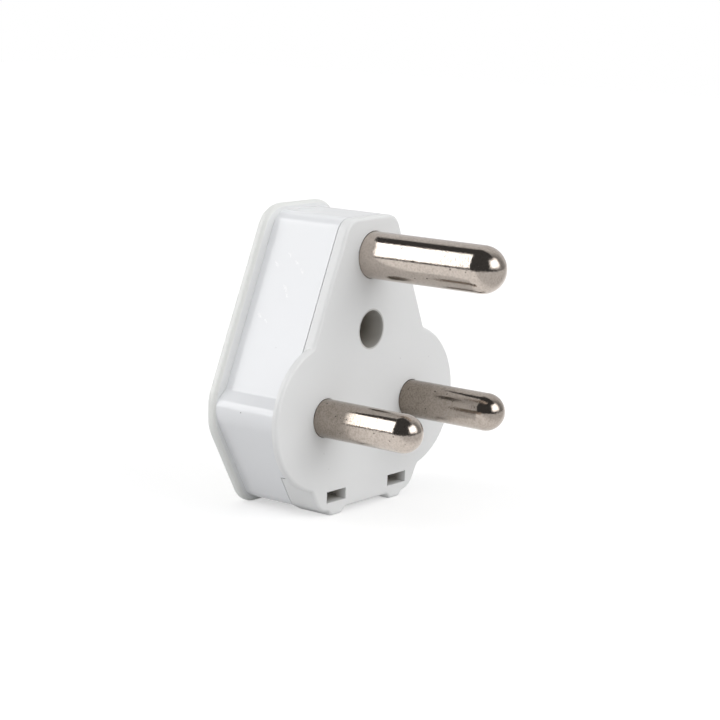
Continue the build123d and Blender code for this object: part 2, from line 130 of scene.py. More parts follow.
# Knurling of the bush: how many ridges, how deep each is sunk, its radius and its share of the length
KNURL_RIDGES = 28
KNURL_SINK = 0.10 * MM
KNURL_RADIUS = 0.24 * MM
KNURL_SHARE = 0.86

# The key softbox, behind on the left: from the horizon up round the Y axis, and its reach along +Y
KEY_TURN = (math.radians(6.5), math.radians(74))
KEY_TURN_EDGE = math.radians(1.2)
KEY_REACH = (0.545, 0.985)
KEY_REACH_EDGE = 0.012

# The share of it that reaches matt surfaces
KEY_SPILL = 0.45

# The front softbox: from the left to the right of -Y, and its height above the horizon
FRONT_ROUND = (math.radians(-14), math.radians(34))
FRONT_ROUND_EDGE = math.radians(22)
FRONT_HEIGHT = (math.radians(13), math.radians(45))
FRONT_HEIGHT_EDGE = math.radians(20)

# The reflector on the right starts at this much of +X, and mirrors show less of it ahead
RIGHT_START = (0.24, 0.33)
RIGHT_AHEAD = (0.0, 0.55)
RIGHT_AHEAD_LOSS = 0.65

# Soft light on matt surfaces: the side that the fill comes from, and where fill and face begin
FILL_SIDE = (-0.75, 0.10, 0.65)
FILL_START = (0.2, 1.0)
FACE_START = (-0.2, 1.0)

# Ahead of the pins the floor darkens in a mirror: over this stretch along Y, down to this share
FLOOR_AHEAD = (-60 * MM, -25 * MM)
FLOOR_AHEAD_SHARE = 0.3

# The width in mm of the film that a lens's focal length is given for
FILM_WIDTH = 36.0

# Marks that handling has left on the left-hand panel of the cover: place and size
SCUFFS = (
    ((-10.9, 13.9, 26.4), 0.36),
    ((-12.6, 10.2, 22.4), 0.44),
    ((-13.1, 9.3, 21.0), 0.30),
    ((-14.8, 14.4, 17.2), 0.42),
    ((-15.1, 12.6, 16.4), 0.28),
    ((-10.1, 11.4, 28.3), 0.26),
    ((-10.7, 9.2, 27.0), 0.32),
    ((-11.2, 7.6, 25.7), 0.30),
)

# The way the scuffs and scratches run, as a turn of the Y axis
SCUFF_TURN = (math.radians(48), 0.0, 0.0)

# Dark specks moulded into the cover and into the face: place and size
COVER_SPECKS = (
    ((-23.1, 11.4, 0.8), 0.16),
    ((-16.9, 8.6, 12.3), 0.10),
    ((-12.1, 15.1, 23.4), 0.08),
)
FACE_SPECKS = (
    ((9.2, 0.0, 8.1), 0.14),
    ((18.2, 0.0, 7.3), 0.12),
    ((-13.0, 0.0, -6.6), 0.11),
    ((-11.5, 0.0, -9.7), 0.12),
)


# Node trees


class Socket:
    """One output of a node. Sums on it add Math nodes."""

    def __init__(self, graph, output):
        self.graph = graph
        self.output = output

    def __add__(self, other):
        return self.graph.math("ADD", self, other)

    def __radd__(self, other):
        return self.graph.math("ADD", other, self)

    def __sub__(self, other):
        return self.graph.math("SUBTRACT", self, other)

    def __rsub__(self, other):
        return self.graph.math("SUBTRACT", other, self)

    def __mul__(self, other):
        return self.graph.math("MULTIPLY", self, other)

    def __rmul__(self, other):
        return self.graph.math("MULTIPLY", other, self)

    def __truediv__(self, other):
        return self.graph.math("DIVIDE", self, other)

    def __rtruediv__(self, other):
        return self.graph.math("DIVIDE", other, self)


class Graph:
    """A node tree that is being made."""

    def __init__(self, tree):
        tree.nodes.clear()
        self.tree = tree

    def node(self, kind, settings=None, sockets=None, output=0):
        """Adds a node, sets its settings and then the values or links of its sockets."""
        made = self.tree.nodes.new(kind)
        for name, value in (settings or {}).items():
            setattr(made, name, value)
        for name, value in (sockets or {}).items():
            if isinstance(value, Socket):
                self.tree.links.new(value.output, made.inputs[name])
            else:
                made.inputs[name].default_value = value
        return Socket(self, made.outputs[output]) if made.outputs else None

    def math(self, operation, *values):
        """One Math node."""
        return self.node("ShaderNodeMath", {"operation": operation}, dict(enumerate(values)))

    def vector(self, operation, sockets, output=0):
        """One Vector Math node."""
        return self.node("ShaderNodeVectorMath", {"operation": operation}, sockets, output)

    def ramp(self, value, low, high, out_low=0.0, out_high=1.0):
        """A soft step from out_low to out_high as the value goes from low to high."""
        settings = {"interpolation_type": "SMOOTHSTEP"}
        sockets = {0: value, 1: low, 2: high, 3: out_low, 4: out_high}
        return self.node("ShaderNodeMapRange", settings, sockets)

    def between(self, value, low, high, soft):
        """1 from low to high and 0 outside, over a soft edge."""
        rise = self.ramp(value, low - soft / 2, low + soft / 2)
        return rise * self.ramp(value, high - soft / 2, high + soft / 2, 1.0, 0.0)

    def within(self, distance, reach, margin):
        """1 up to the reach and 0 further out, over the two margins past it."""
        return self.ramp(distance, reach + margin[0], reach + margin[1], 1.0, 0.0)

    def combine(self, x, y, z):
        """A vector from three numbers."""
        return self.node("ShaderNodeCombineXYZ", None, {0: x, 1: y, 2: z})

    def split(self, vector):
        """The three numbers of a vector."""
        x = self.node("ShaderNodeSeparateXYZ", None, {0: vector})
        return [Socket(self, output) for output in x.output.node.outputs]

    def ray(self, kind):
        """1 for a ray of this kind, such as Camera or Glossy."""
        return self.node("ShaderNodeLightPath", output=f"Is {kind} Ray")


class Finish(Graph):
    """A material on Object coordinates."""

    def __init__(self, name):
        self.material = bpy.data.materials.new(name)
        self.material.use_nodes = True
        super().__init__(self.material.node_tree)
        self.place = self.node("ShaderNodeTexCoord", output="Object")

    def noise(self, size, detail=2.0, roughness=0.5, place=None):
        """Noise from 0 to 1 whose features are about the given size in millimetres."""
        sockets = {"Vector": place or self.place, "Scale": 1 / (size * MM), "Detail": detail}
        sockets["Roughness"] = roughness
        return self.node("ShaderNodeTexNoise", None, sockets)

    def cells(self, size, place=None):
        """The distance from the centre of the nearest cell, in cells."""
        sockets = {"Vector": place or self.place, "Scale": 1 / (size * MM)}
        return self.node("ShaderNodeTexVoronoi", None, sockets, "Distance")

    def stretched(self, turn, stretch, place=None):
        """The place in turned axes, where a pattern is drawn out by the stretch along each."""
        sockets = {"Vector": place or self.place, "Rotation": turn, "Scale": stretch}
        return self.node("ShaderNodeMapping", {"vector_type": "TEXTURE"}, sockets)

    def wandering(self, amount, size):
        """The place pushed about by noise, so that the edge of a mark isn't a circle."""
        sockets = {"Vector": self.place, "Scale": 1 / (size * MM), "Detail": 3.0}
        colour = self.node("ShaderNodeTexNoise", None, sockets, "Color")
        centred = self.vector("SUBTRACT", {0: colour, 1: (0.5,) * 3})
        push = self.vector("SCALE", {0: centred, "Scale": amount * MM})
        return self.vector("ADD", {0: self.place, 1: push})

    def marks(self, spots, place, turn=(0.0, 0.0, 0.0), stretch=(1.0, 1.0, 1.0)):
        """A mask that is 1 at each of the listed spots, soft at its edge, drawn out if wanted."""
        place = self.stretched(turn, stretch, place)
        upright = Euler(turn).to_matrix().inverted()
        mask = 0.0
        for centre, radius in spots:
            middle = [c * MM / share for c, share in zip(upright @ Vector(centre), stretch)]
            distance = self.vector("DISTANCE", {0: place, 1: middle}, "Value")
            mark = self.ramp(distance, 0.3 * radius * MM, radius * MM, 1.0, 0.0)
            mask = self.math("MAXIMUM", mark, mask)
        return mask

    def clamp(self, value):
        """The value held between 0 and 1."""
        return self.node("ShaderNodeClamp", None, {0: value})

    def blend(self, factor, colour, other):
        """A colour that goes from the first to the second with the factor."""
        settings = {"data_type": "RGBA", "blend_type": "MIX"}
        return self.node("ShaderNodeMix", settings, {0: factor, 6: colour, 7: other}, 2)

    def edge_normal(self, radius):
        """The normal as if every sharp edge had a small radius, in millimetres."""
        return self.node("ShaderNodeBevel", {"samples": 6}, {"Radius": radius * MM})

    def bump(self, height, depth, normal=None):
        """Relief from a height of 0 to 1, with its depth in millimetres."""
        sockets = {"Height": height, "Distance": depth * MM, "Strength": 1.0}
        if normal:
            sockets["Normal"] = normal
        return self.node("ShaderNodeBump", None, sockets)

    def close(self, sockets):
        """Adds the shader and the output."""
        shader = self.node("ShaderNodeBsdfPrincipled", None, sockets)
        self.node("ShaderNodeOutputMaterial", None, {"Surface": shader})
        return self.material


class Maker(Graph):
    """A Geometry Nodes tree with named inputs, which ends as a real mesh with one material."""

    def __init__(self, name, inputs):
        super().__init__(bpy.data.node_groups.new(name, "GeometryNodeTree"))
        sockets = {"Geometry": "Geometry", **inputs, "Material": "Material"}
        interface = self.tree.interface
        for label, kind in sockets.items():
            interface.new_socket(name=label, in_out="INPUT", socket_type=f"NodeSocket{kind}")
        interface.new_socket(name="Geometry", in_out="OUTPUT", socket_type="NodeSocketGeometry")
        outputs = self.node("NodeGroupInput").output.node.outputs
        self.given = {output.name: Socket(self, output) for output in outputs if output.name}

    def end(self, added):
        """Joins what was made to the piece's own mesh, makes it real and gives it the material."""
        both = self.node("GeometryNodeJoinGeometry", None, {0: added})
        self.tree.links.new(self.given["Geometry"].output, both.output.node.inputs[0])
        real = self.node("GeometryNodeRealizeInstances", None, {0: both})
        sockets = {"Geometry": real, "Material": self.given["Material"]}
        self.node("NodeGroupOutput", None, {0: self.node("GeometryNodeSetMaterial", None, sockets)})
        return self.tree


def thread_tree():
    """A threaded shank along Y: a helix cut into a rod, run out at both ends, its tip tapered."""
    inputs = {label: "Float" for label in ("Radius", "Pitch", "Depth", "Length", "Towards")}
    maker = Maker("screw_thread", {**inputs, "Centre": "Vector"})
    radius, pitch, depth, length, towards = [maker.given[label] for label in inputs]
    rod = maker.node("GeometryNodeMeshCylinder", {"fill_type": "NGON"}, {
        "Vertices": THREAD_SIDES,
        "Side Segments": length / pitch * THREAD_ROWS,
        "Radius": radius,
        "Depth": length,
    })
    x, y, z = maker.split(maker.node("GeometryNodeInputPosition"))
    phase = maker.math("FRACT", z / pitch - maker.math("ARCTAN2", y, x) / math.tau)
    groove = maker.math("ABSOLUTE", phase * 2.0 - 1.0)
    groove = groove * maker.ramp(length / 2 - maker.math("ABSOLUTE", z), 0.0, pitch)
    taper = maker.ramp(length / 2 - z, 0.0, pitch * THREAD_TAPER, 1.0, 0.0)
    share = 1.0 - maker.math("MAXIMUM", groove, taper) * depth / radius
    turned = maker.combine(x * share, 0.0 - z * towards, y * share * towards)
    place = maker.vector("ADD", {0: turned, 1: maker.given["Centre"]})
    cut = maker.node("GeometryNodeSetPosition", None, {"Geometry": rod, "Position": place})
    return maker.end(cut)


def knurl_tree():
    """Straight knurling round a bush along Y: ridges of diamond section, evenly round a ring."""
    inputs = {"Radius": "Float", "Ridges": "Int", "Length": "Float", "Centre": "Vector"}
    maker = Maker("bush_knurl", inputs)
    given = maker.given
    ring = maker.node("GeometryNodeMeshCircle", None, {
        "Vertices": given["Ridges"], "Radius": given["Radius"]})
    ridge = maker.node("GeometryNodeMeshCylinder", {"fill_type": "NGON"}, {
        "Vertices": 4, "Radius": KNURL_RADIUS, "Depth": given["Length"]})
    x, y, z = maker.split(maker.node("GeometryNodeInputPosition"))
    turn = maker.combine(0.0, 0.0, maker.math("ARCTAN2", y, x))
    ridges = maker.node("GeometryNodeInstanceOnPoints", None, {
        "Points": ring, "Instance": ridge, "Rotation": turn})
    laid = maker.node("GeometryNodeTransform", None, {
        "Geometry": ridges, "Rotation": (math.pi / 2, 0.0, 0.0), "Translation": given["Centre"]})
    return maker.end(laid)


# Finishes


def opaque(colour):
    """A colour with its alpha."""
    return (*colour, 1.0)


def darker(colour, share):
    """A colour with its brightness multiplied."""
    return opaque([c * share for c in colour])


def recess_shade_mask(finish):
    """Painted shade in the base: in the screw well, more so with depth, and in the windows."""
    x, y, z = finish.split(finish.place)
    across = finish.math("SQRT", x * x + (z - WELL_HEIGHT) * (z - WELL_HEIGHT))
    in_well = finish.within(across, WELL_RADIUS, WELL_MARGIN)
    beside = finish.math("ABSOLUTE", finish.math("ABSOLUTE", x) - WINDOW_SPACING / 2)
    above = finish.math("ABSOLUTE", z - WINDOW_MIDDLE)
    in_window = finish.within(beside, WINDOW_WIDTH / 2, WINDOW_MARGIN)
    in_window = in_window * finish.within(above, WINDOW_HEIGHT / 2, WINDOW_MARGIN)
    well_shade = finish.ramp(y, *WELL_MOUTH) * MOUTH_SHADE + finish.ramp(y, *WELL_DEPTH) * DEPTH_SHADE
    return in_well * well_shade + in_window * finish.ramp(y, *WINDOW_DEPTH) * WINDOW_SHADE


def warm_moulding(look):
    """Satin base moulding: faint clouds, fine grain, a few specks and painted shade in its holes."""
    finish = Finish("warm_moulding")
    clouds = finish.noise(9.0, 3.0)
    grain = finish.noise(0.28, 2.0)
    specks = finish.marks(FACE_SPECKS, finish.wandering(0.15, 0.3))
    colour = finish.blend(clouds, darker(look.base_colour, 0.985), darker(look.base_colour, 1.012))
    colour = finish.blend(specks * 0.55, colour, opaque(look.speck_colour))
    # Painted shade in the screw well and the windows, darker deeper in
    colour = finish.blend(recess_shade_mask(finish), colour, opaque(look.recess_shade_colour))
    swell = finish.noise(4.5, 1.0)
    rounded = finish.edge_normal(look.edge_radius)
    relief = finish.bump(grain * 0.35 + swell, look.grain_depth, rounded)
    return finish.close({
        "Base Color": colour,
        "Roughness": look.base_roughness + (clouds - 0.5) * 0.10 + (grain - 0.5) * 0.08,
        "IOR": 1.5,
        "Normal": relief,
    })


def gloss_moulding(look):
    """Gloss moulding of the cover: a swell in the polish, fine scratches, scuffs and specks."""
    finish = Finish("gloss_moulding")
    clouds = finish.noise(11.0, 2.0)
    swell = finish.noise(3.2, 1.5)
    rubbed = finish.wandering(0.9, 0.5)
    crumbs = finish.ramp(finish.noise(0.22, 3.0, 0.7), 0.42, 0.62)
    scuffs = finish.marks(SCUFFS, rubbed, SCUFF_TURN, (1.0, 4.5, 1.0)) * (0.35 + crumbs * 0.65)
    hairs = finish.noise(0.09, 1.0, 0.5, finish.stretched(SCUFF_TURN, (1.0, 22.0, 1.0)))
    hairs = finish.ramp(hairs, 0.70, 0.78)
    worn = finish.ramp(finish.noise(6.0, 2.0), 0.48, 0.66)
    hairs = hairs * worn * look.scratch_amount
    specks = finish.marks(COVER_SPECKS, finish.wandering(0.10, 0.25))
    behind = finish.split(finish.place)[1]
    flange = finish.ramp(behind, FLANGE_FRONT - FLANGE_EDGE, FLANGE_FRONT + FLANGE_EDGE)
    wall = finish.blend(clouds, darker(look.cover_colour, 0.99), darker(look.cover_colour, 1.008))
    colour = finish.blend(flange, wall, opaque(look.flange_colour))
    colour = finish.blend(scuffs * look.scuff_amount, colour, opaque(look.scuff_colour))
    colour = finish.blend(specks * 0.8, colour, opaque(look.speck_colour))
    rounded = finish.edge_normal(look.edge_radius)
    relief = finish.bump(swell - scuffs * 0.25 - hairs * 0.15, look.swell_depth, rounded)
    dulled = scuffs * 0.32 + hairs * 0.2 + flange * 0.22
    return finish.close({
        "Base Color": colour,
        "Roughness": look.cover_roughness + clouds * 0.03 + dulled,
        "IOR": 1.5,
        "Normal": relief,
    })


def nickel_plating(look):
    """Polished nickel: fine grain, faint turning marks, tarnish in mottle and specks, and pits."""
    finish = Finish("nickel_plating")
    rings = finish.noise(0.12, 2.0, 0.6, finish.stretched((0.0, 0.0, 0.0), (30.0, 1.0, 30.0)))
    speckle = finish.ramp(finish.noise(0.34, 3.0, 0.7), 0.40, 0.66)
    grain = finish.noise(0.30, 2.0, 0.6)
    mottle = finish.ramp(finish.noise(1.1, 4.0, 0.65), 0.35, 0.75)
    haze = finish.noise(5.0, 3.0)
    pits = finish.ramp(finish.cells(1.7, finish.wandering(0.5, 0.8)), 0.06, 0.11, 1.0, 0.0)
    x, y, z = finish.split(finish.place)
    line_pins = finish.ramp(z, *LINE_PIN_TOP, 1.0, 0.0)
    # The line pins darker towards the face
    near_face = finish.ramp(y, *NEAR_FACE) * line_pins
    neutral = finish.ramp(x, *NEUTRAL_SIDE) * line_pins
    darkening = near_face * 0.50 + neutral * 0.18 + mottle * 0.12 + speckle * 0.26
    colour = finish.blend(haze, darker(look.nickel_colour, 0.97), darker(look.nickel_colour, 1.03))
    colour = finish.blend(finish.clamp(darkening), colour, opaque(look.dark_nickel_colour))
    colour = finish.blend(pits * 0.85, colour, darker(look.nickel_colour, 0.12))
    relief = finish.bump(rings * 0.15 + grain, look.plating_relief)
    return finish.close({
        "Base Color": colour,
        "Metallic": 1.0,
        "Roughness": look.nickel_roughness + mottle * 0.04 + speckle * 0.04 + pits * 0.2,
        "Normal": relief,
    })


def turned_metal(name, colour, roughness):
    """Bare or zinc-plated metal of a fastener, with a fine turned grain."""
    finish = Finish(name)
    rings = finish.noise(0.10, 2.0, 0.6, finish.stretched((0.0, 0.0, 0.0), (20.0, 1.0, 20.0)))
    clouds = finish.noise(2.5, 3.0)
    relief = finish.bump(rings, 0.004)
    return finish.close({
        "Base Color": finish.blend(clouds, darker(colour, 0.82), darker(colour, 1.08)),
        "Metallic": 1.0,
        "Roughness": roughness + clouds * 0.12 + (rings - 0.5) * 0.08,
        "Normal": relief,
    })


def red_fibre(look):
    """Pressed fibre of the captive washer: matt, with short flecks."""
    finish = Finish("red_fibre")
    flecks = finish.noise(0.25, 4.0, 0.7, finish.stretched((0.3, 0.0, 0.5), (1.0, 1.0, 3.0)))
    fibre = look.fibre_colour
    return finish.close({
        "Base Color": finish.blend(flecks, darker(fibre, 0.6), darker(fibre, 1.4)),
        "Roughness": 0.75 + (flecks - 0.5) * 0.2,
        "Normal": finish.bump(flecks, 0.03),
    })


# Meshes


def merged_copy(node):
    """A working copy of a CAD node's mesh, with its loose triangles welded together."""
    copy = bmesh.new()
    copy.from_mesh(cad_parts[node].data)
    bmesh.ops.remove_doubles(copy, verts=copy.verts, dist=WELD_DISTANCE)
    return copy


def plain_mesh(copy, name):
    """The mesh that a working copy has become. The copy is freed."""
    mesh = bpy.data.meshes.new(name)
    copy.to_mesh(mesh)
    copy.free()
    return mesh


def finished_object(name, mesh, material):
    """An object for a mesh, in the scene and with one material."""
    mesh.materials.clear()
    mesh.materials.append(material)
    piece = bpy.data.objects.new(name, mesh)
    bpy.context.scene.collection.objects.link(piece)
    return piece


def applied(piece):
    """The piece with what its modifiers make of it, as a plain mesh."""
    depsgraph = bpy.context.evaluated_depsgraph_get()
    mesh = bpy.data.meshes.new_from_object(piece.evaluated_get(depsgraph))
    piece.modifiers.clear()
    piece.data = mesh
    return piece


def smoothed(piece, crease):
    """Smooths what turns less than the crease angle; large flats keep their own direction."""
    layers = piece.data.attributes
    if "custom_normal" in layers:
        layers.remove(layers["custom_normal"])
    piece.data.shade_smooth()
    piece.data.set_sharp_from_angle(angle=crease)
    weighting = piece.modifiers.new("even shading", "WEIGHTED_NORMAL")
    weighting.mode = "FACE_AREA"
    weighting.weight = FLAT_WEIGHT
    weighting.keep_sharp = True
    return applied(piece)


def stand_for(piece, node):
    """The piece rides on the one body and stands for its CAD node, which is hidden."""
    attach(piece, ROOT)
    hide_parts(node)
    return piece


def dress(node, name, material):
    """The plain way to finish a node: a welded, smoothed copy with its material."""
    piece = finished_object(name, plain_mesh(merged_copy(node), name), material)
    return stand_for(smoothed(piece, CREASE), node)


def grown(piece, tree, sizes):
    """The piece with what a tree makes of it, as a plain mesh."""
    modifier = piece.modifiers.new(tree.name, "NODES")
    modifier.node_group = tree
    for item in tree.interface.items_tree:
        if item.in_out == "INPUT" and item.name in sizes:
            modifier[item.identifier] = sizes[item.name]
    return applied(piece)


def threaded_screw(node, name, material, size, tree):
    """A screw: its slotted head is the CAD node's, and its shank gets a real thread."""
    diameter, pitch, head_height, towards = size
    low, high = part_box(node)
    head_end, tip = (high.y, low.y) if towards > 0 else (low.y, high.y)
    seat = head_end - towards * head_height * MM
    copy = merged_copy(node)
    geometry = [*copy.verts, *copy.edges, *copy.faces]
    bmesh.ops.bisect_plane(
        copy, geom=geometry, dist=WELD_DISTANCE, plane_co=(0.0, seat, 0.0),
        plane_no=(0.0, -towards, 0.0), clear_outer=True)
    bmesh.ops.holes_fill(copy, edges=[edge for edge in copy.edges if edge.is_boundary])
    root = seat + towards * SHANK_ROOT
    centre = (low + high) / 2
    centre.y = (root + tip) / 2
    head = finished_object(name, plain_mesh(copy, name), material)
    piece = grown(head, tree, {
        "Radius": diameter / 2 * MM,
        "Pitch": pitch * MM,
        "Depth": THREAD_DEPTH * pitch * MM,
        "Length": abs(root - tip),
        "Towards": float(towards),
        "Centre": centre,
        "Material": material,
    })
    return stand_for(smoothed(piece, THREADED_CREASE), node)


def knurled_bush(node, name, material, tree):
    """The threaded bush with the knurling that holds it in the moulding."""
    low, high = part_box(node)
    bush = finished_object(name, plain_mesh(merged_copy(node), name), material)
    piece = grown(bush, tree, {
        "Radius": (high.x - low.x) / 2 - KNURL_SINK,
        "Ridges": KNURL_RIDGES,
        "Length": (high.y - low.y) * KNURL_SHARE,
        "Centre": (low + high) / 2,
        "Material": material,
    })
    return stand_for(smoothed(piece, CREASE), node)


# What a user would change


class PLUGTOP_PG_mouldings(bpy.types.PropertyGroup):
    """Colours and texture of the two mouldings."""

    base_colour: bpy.props.FloatVectorProperty(
        name="Base colour", description="Warm white of the base", subtype="COLOR",
        default=(0.82, 0.825, 0.825), min=0.0, max=1.0)
    cover_colour: bpy.props.FloatVectorProperty(
        name="Cover colour", description="Cool white of the cover", subtype="COLOR",
        default=(0.855, 0.865, 0.885), min=0.0, max=1.0)
    flange_colour: bpy.props.FloatVectorProperty(
        name="Flange colour", description="The cover's flange and back, less polished",
        subtype="COLOR", default=(0.81, 0.82, 0.80), min=0.0, max=1.0)
    speck_colour: bpy.props.FloatVectorProperty(
        name="Speck colour", description="Dark specks in the moulding", subtype="COLOR",
        default=(0.16, 0.15, 0.14), min=0.0, max=1.0)
    # Colour of the painted shade in the screw well and the windows
    recess_shade_colour: bpy.props.FloatVectorProperty(
        name="Well colour", description="Dust in the screw well and the windows", subtype="COLOR",
        default=(0.21, 0.175, 0.12), min=0.0, max=1.0)
    scuff_colour: bpy.props.FloatVectorProperty(
        name="Scuff colour", description="Rubbed marks on the cover", subtype="COLOR",
        default=(0.98, 0.98, 0.99), min=0.0, max=1.0)
    base_roughness: bpy.props.FloatProperty(
        name="Base roughness", description="Satin of the base", default=0.36, min=0.05, max=1.0)
    cover_roughness: bpy.props.FloatProperty(
        name="Cover roughness", description="Gloss of the cover", default=0.12, min=0.02, max=1.0)
    grain_depth: bpy.props.FloatProperty(
        name="Grain depth", description="Relief of the base's grain, in mm", default=0.012, min=0.0)
    swell_depth: bpy.props.FloatProperty(
        name="Swell depth", description="Relief of the cover's polish, in mm",
        default=0.010, min=0.0)
    edge_radius: bpy.props.FloatProperty(
        name="Edge radius", description="Rounding seen on sharp edges, in mm",
        default=0.14, min=0.0)
    scuff_amount: bpy.props.FloatProperty(
        name="Scuffs", description="Strength of the scuffs", subtype="FACTOR",
        default=0.8, min=0.0, max=1.0)
    scratch_amount: bpy.props.FloatProperty(
        name="Scratches", description="Strength of the fine scratches", subtype="FACTOR",
        default=0.5, min=0.0, max=1.0)


class PLUGTOP_PG_metals(bpy.types.PropertyGroup):
    """Colours and finish of the pins and fasteners."""

    nickel_colour: bpy.props.FloatVectorProperty(
        name="Nickel colour", description="Plating of the pins", subtype="COLOR",
        default=(0.60, 0.53, 0.475), min=0.0, max=1.0)
    nickel_roughness: bpy.props.FloatProperty(
        name="Nickel roughness", description="Polish of the pins", default=0.085, min=0.0, max=1.0)
    plating_relief: bpy.props.FloatProperty(
        name="Plating relief", description="Relief of the plating's grain, in mm",
        default=0.016, min=0.0)
    # The darker nickel: mottle, specks, and the line pins towards the face
    dark_nickel_colour: bpy.props.FloatVectorProperty(
        name="Tarnish colour", description="Handled and mottled nickel", subtype="COLOR",
        default=(0.22, 0.185, 0.15), min=0.0, max=1.0)
    brass_colour: bpy.props.FloatVectorProperty(
        name="Brass colour", description="Clamp washers, terminal screws and insert",
        subtype="COLOR", default=(0.72, 0.55, 0.28), min=0.0, max=1.0)
    zinc_colour: bpy.props.FloatVectorProperty(
        name="Zinc colour", description="Cover screw and cord clamp", subtype="COLOR",
        default=(0.62, 0.63, 0.64), min=0.0, max=1.0)
    fibre_colour: bpy.props.FloatVectorProperty(
        name="Fibre colour", description="Captive washer of the cover screw", subtype="COLOR",
        default=(0.35, 0.12, 0.08), min=0.0, max=1.0)


class PLUGTOP_PG_studio(bpy.types.PropertyGroup):
    """Floor, soft light and camera."""

    floor_colour: bpy.props.FloatVectorProperty(
        name="Floor colour", description="Pale floor", subtype="COLOR",
        default=(0.58, 0.58, 0.58), min=0.0, max=1.0)
    floor_size: bpy.props.FloatProperty(
        name="Floor size", description="Side of the square floor", unit="LENGTH", default=2.4)
    floor_lift: bpy.props.FloatProperty(
        name="Floor lift", description="What makes the floor white to the camera",
        default=0.52, min=0.0)
    key_strength: bpy.props.FloatProperty(
        name="Key", description="Brightness of the softbox behind and to the left",
        default=3.35, min=0.0)
    front_strength: bpy.props.FloatProperty(
        name="Front", description="Brightness of the softbox in front",
        default=3.0, min=0.0)
    right_strength: bpy.props.FloatProperty(
        name="Right", description="Brightness of the reflector on the right",
        default=0.66, min=0.0)
    gap_strength: bpy.props.FloatProperty(
        name="Gaps", description="Brightness of the dark gaps in a reflection",
        default=0.06, min=0.0)
    spill_strength: bpy.props.FloatProperty(
        name="Spill", description="Soft light that fills the shadows", default=0.13, min=0.0)
    fill_strength: bpy.props.FloatProperty(
        name="Fill", description="Soft light from the left", default=0.82, min=0.0)
    face_strength: bpy.props.FloatProperty(
        name="Face", description="Soft light from ahead of the pins", default=0.17, min=0.0)
    eye: bpy.props.FloatVectorProperty(
        name="Eye", description="Place of the camera", subtype="TRANSLATION", unit="LENGTH",
        default=(-0.29999, -0.23003, 0.08136))
    yaw: bpy.props.FloatProperty(
        name="Yaw", description="Turn of the view to the right of +Y", subtype="ANGLE",
        unit="ROTATION", default=math.radians(52.225))
    pitch: bpy.props.FloatProperty(
        name="Pitch", description="Downward tilt of the view", subtype="ANGLE", unit="ROTATION",
        default=math.radians(10.845))
    roll: bpy.props.FloatProperty(
        name="Roll", description="Lean of the picture", subtype="ANGLE", unit="ROTATION",
        default=math.radians(1.656))
    lens: bpy.props.FloatProperty(
        name="Lens", description="Focal length on 36 mm film, in mm", default=104.22, min=1.0)


# Operators


class PLUGTOP_OT_mould_base(bpy.types.Operator):
    """Finishes the base: face, lobes, feet and skirt in satin moulding"""

    bl_idname = "plugtop.mould_base"
    bl_label = "Mould base"

    def execute(self, context):
        look = context.scene.plugtop_mouldings
        dress("base", "moulded_base", warm_moulding(look))
        return {"FINISHED"}


class PLUGTOP_OT_mould_cover(bpy.types.Operator):
    """Finishes the cover: wall, flange and back in gloss moulding"""

    bl_idname = "plugtop.mould_cover"
    bl_label = "Mould cover"

    def execute(self, context):
        look = context.scene.plugtop_mouldings
        dress("cover", "moulded_cover", gloss_moulding(look))
        return {"FINISHED"}


class PLUGTOP_OT_plate_pins(bpy.types.Operator):
    """Finishes the earth, live and neutral pins in polished nickel"""

    bl_idname = "plugtop.plate_pins"
    bl_label = "Plate pins"

    def execute(self, context):
        plating = nickel_plating(context.scene.plugtop_metals)
        for pin in ("earth", "live", "neutral"):
            dress(f"{pin}_pin", f"plated_{pin}_pin", plating)
        return {"FINISHED"}


class PLUGTOP_OT_fit_terminals(bpy.types.Operator):
    """Finishes the three terminal screws and the clamp washers under them"""

    bl_idname = "plugtop.fit_terminals"
    bl_label = "Fit terminals"

    def execute(self, context):
        brass = turned_metal("turned_brass", context.scene.plugtop_metals.brass_colour, 0.24)
        thread = thread_tree()
        for pin in ("earth", "live", "neutral"):
            dress(f"{pin}_clamp_washer", f"pressed_{pin}_clamp_washer", brass)
            threaded_screw(f"{pin}_terminal_screw", f"turned_{pin}_terminal_screw", brass,
                           SCREW_SIZES["terminal"], thread)
        return {"FINISHED"}


class PLUGTOP_OT_fit_cover_screw(bpy.types.Operator):
    """Finishes the cover screw, its captive washer and the knurled bush it screws into"""

    bl_idname = "plugtop.fit_cover_screw"
    bl_label = "Fit cover screw"

    def execute(self, context):
        metals = context.scene.plugtop_metals
        steel = turned_metal("screw_steel", metals.zinc_colour, 0.28)
        brass = turned_metal("bush_brass", metals.brass_colour, 0.24)
        threaded_screw("cover_screw", "turned_cover_screw", steel,
                       SCREW_SIZES["cover"], thread_tree())
        knurled_bush("cover_insert", "turned_cover_insert", brass, knurl_tree())
        dress("cover_screw_washer", "pressed_cover_screw_washer", red_fibre(metals))
        return {"FINISHED"}


class PLUGTOP_OT_fit_cord_clamp(bpy.types.Operator):
    """Finishes the cord clamp: its bar, two screws and two square nuts"""

    bl_idname = "plugtop.fit_cord_clamp"
    bl_label = "Fit cord clamp"

    def execute(self, context):
        steel = turned_metal("clamp_steel", context.scene.plugtop_metals.zinc_colour, 0.28)
        thread = thread_tree()
        dress("cord_clamp_bar", "pressed_cord_clamp_bar", steel)
        for side in ("left", "right"):
            threaded_screw(f"cord_clamp_screw_{side}", f"turned_cord_clamp_screw_{side}", steel,
                           SCREW_SIZES["clamp"], thread)
            dress(f"cord_clamp_nut_{side}", f"pressed_cord_clamp_nut_{side}", steel)
        return {"FINISHED"}


class PLUGTOP_OT_set_studio(bpy.types.Operator):
    """Sets the floor, the soft light and the camera"""

    bl_idname = "plugtop.set_studio"
    bl_label = "Set studio"

    def execute(self, context):
        studio = context.scene.plugtop_studio
        lay_floor(studio)
        light_surround(studio)
        aim_camera(studio)
        context.scene.view_settings.view_transform = "Standard"
        return {"FINISHED"}


# Studio


